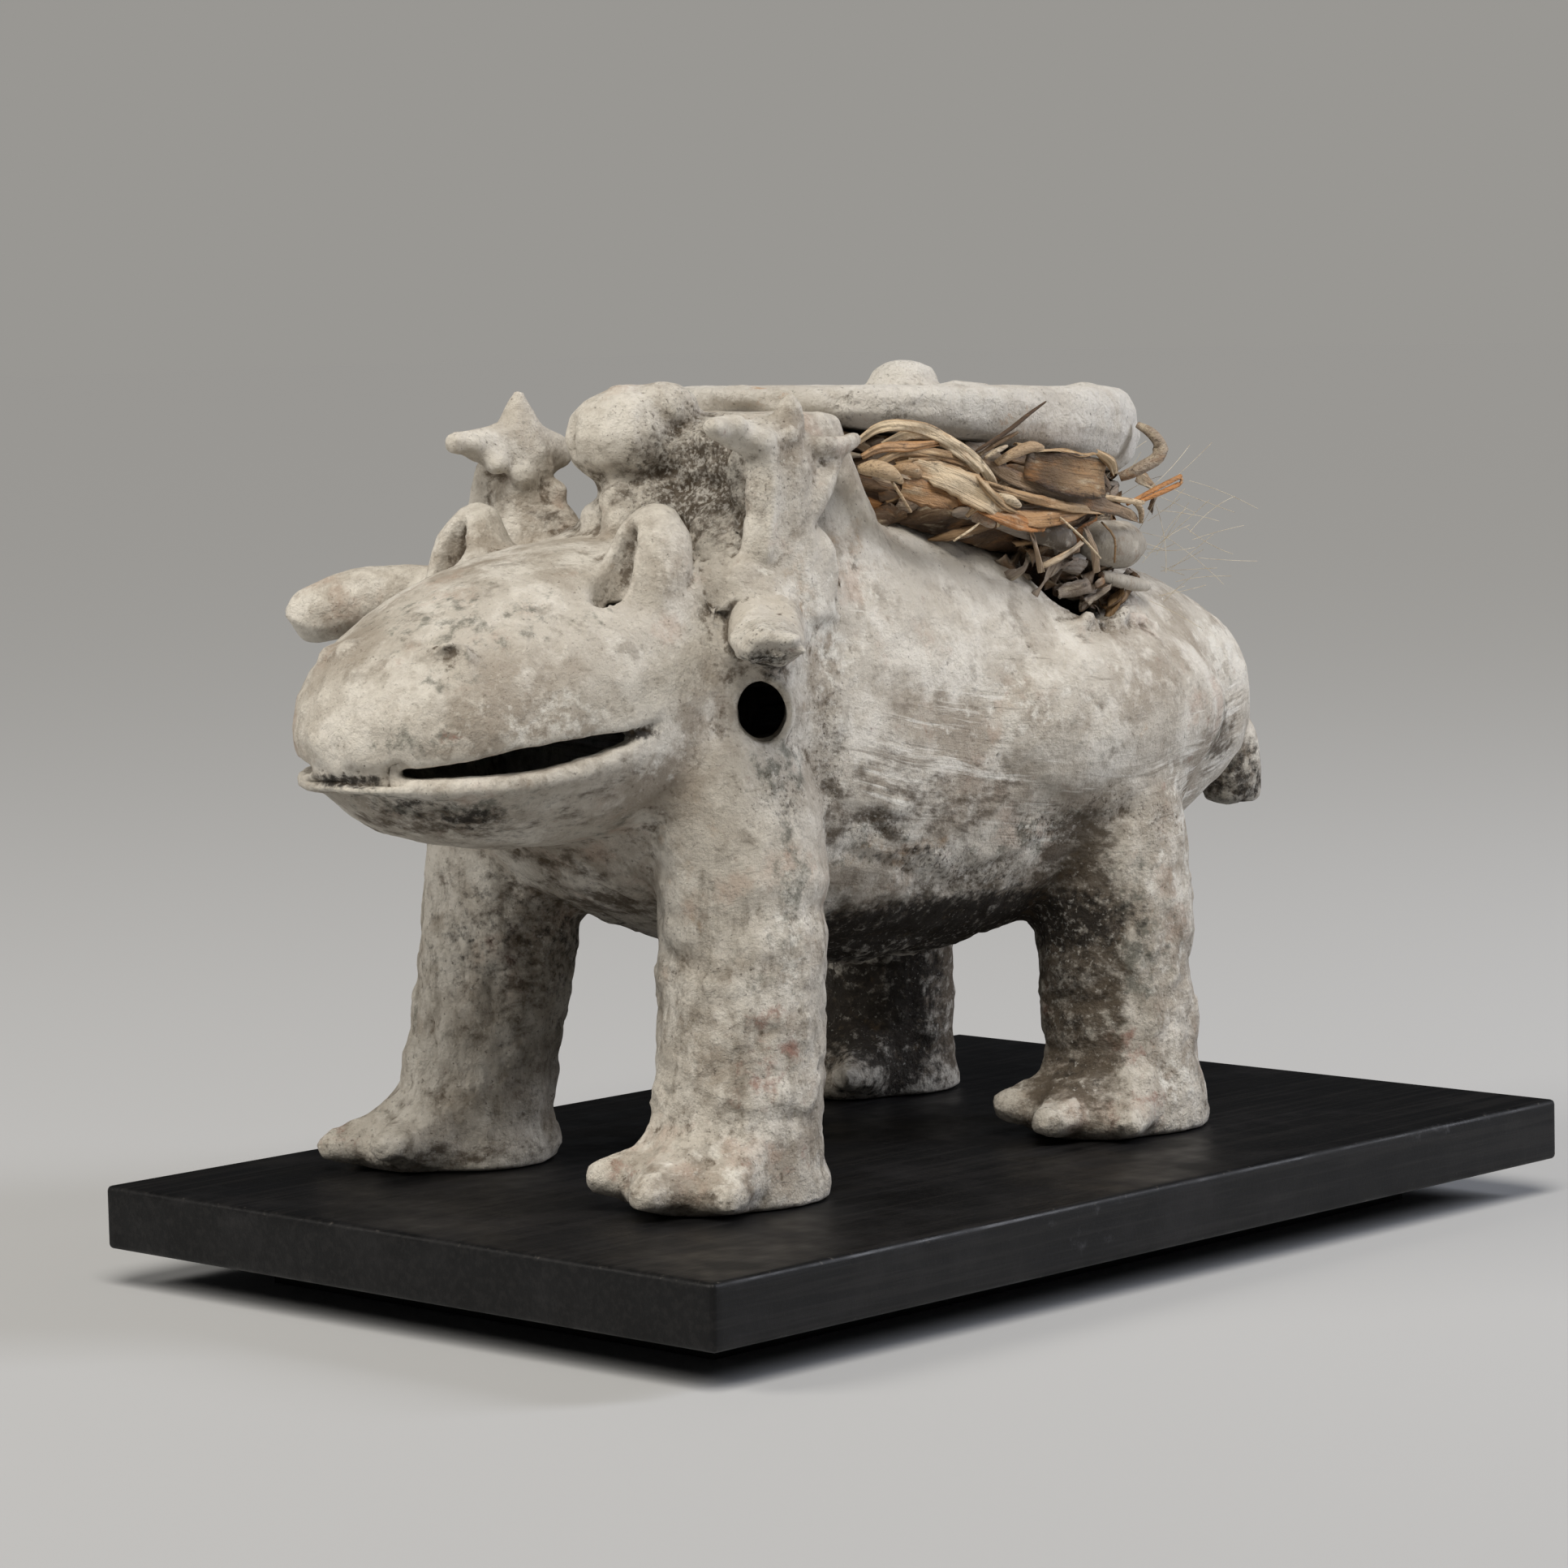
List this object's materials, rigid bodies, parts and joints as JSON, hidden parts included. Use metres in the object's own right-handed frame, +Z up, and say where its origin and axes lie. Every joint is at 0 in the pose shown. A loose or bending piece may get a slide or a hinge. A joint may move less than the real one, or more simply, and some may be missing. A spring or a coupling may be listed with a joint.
{
  "type": "clay animal figure on a display board",
  "caption": "Hollow clay beast with a wide mouth and stout legs, a loose knobbed lid and dry husks on its back, standing on a black wooden board.",
  "frame": {"origin": "centre of the underside of the board's foot, on the surface it stands on", "axes": "+Z up, -Y the way the beast faces, +X its left flank"},
  "size_m": [0.4, 0.6353, 0.4236],
  "materials": {
    "chalky_clay": "unglazed chalky clay with grey and pink stains",
    "pale_lid_clay": "smoother pale unglazed clay",
    "dry_husk": "dry husk with lengthwise fibres",
    "grey_husk": "dusty grey husk",
    "dark_twig": "dark bark",
    "black_painted_wood": "satin black paint over wood, worn at the edges"
  },
  "bodies": {
    "root": {"beast": "chalky_clay", "back_lid": "pale_lid_clay", "husk_wad": "dry_husk", "fan_husk": "dry_husk", "torn_strip": "dry_husk", "folded_leaf": "dry_husk", "long_strip": "dry_husk", "rear_leaf": "dry_husk", "splinter": "dry_husk", "seed_pod": "dry_husk", "twig": "dark_twig", "grey_scoop": "grey_husk", "round_lump": "grey_husk", "small_tube": "grey_husk", "board": "black_painted_wood", "board_foot": "black_painted_wood"}
  },
  "joints": []
}
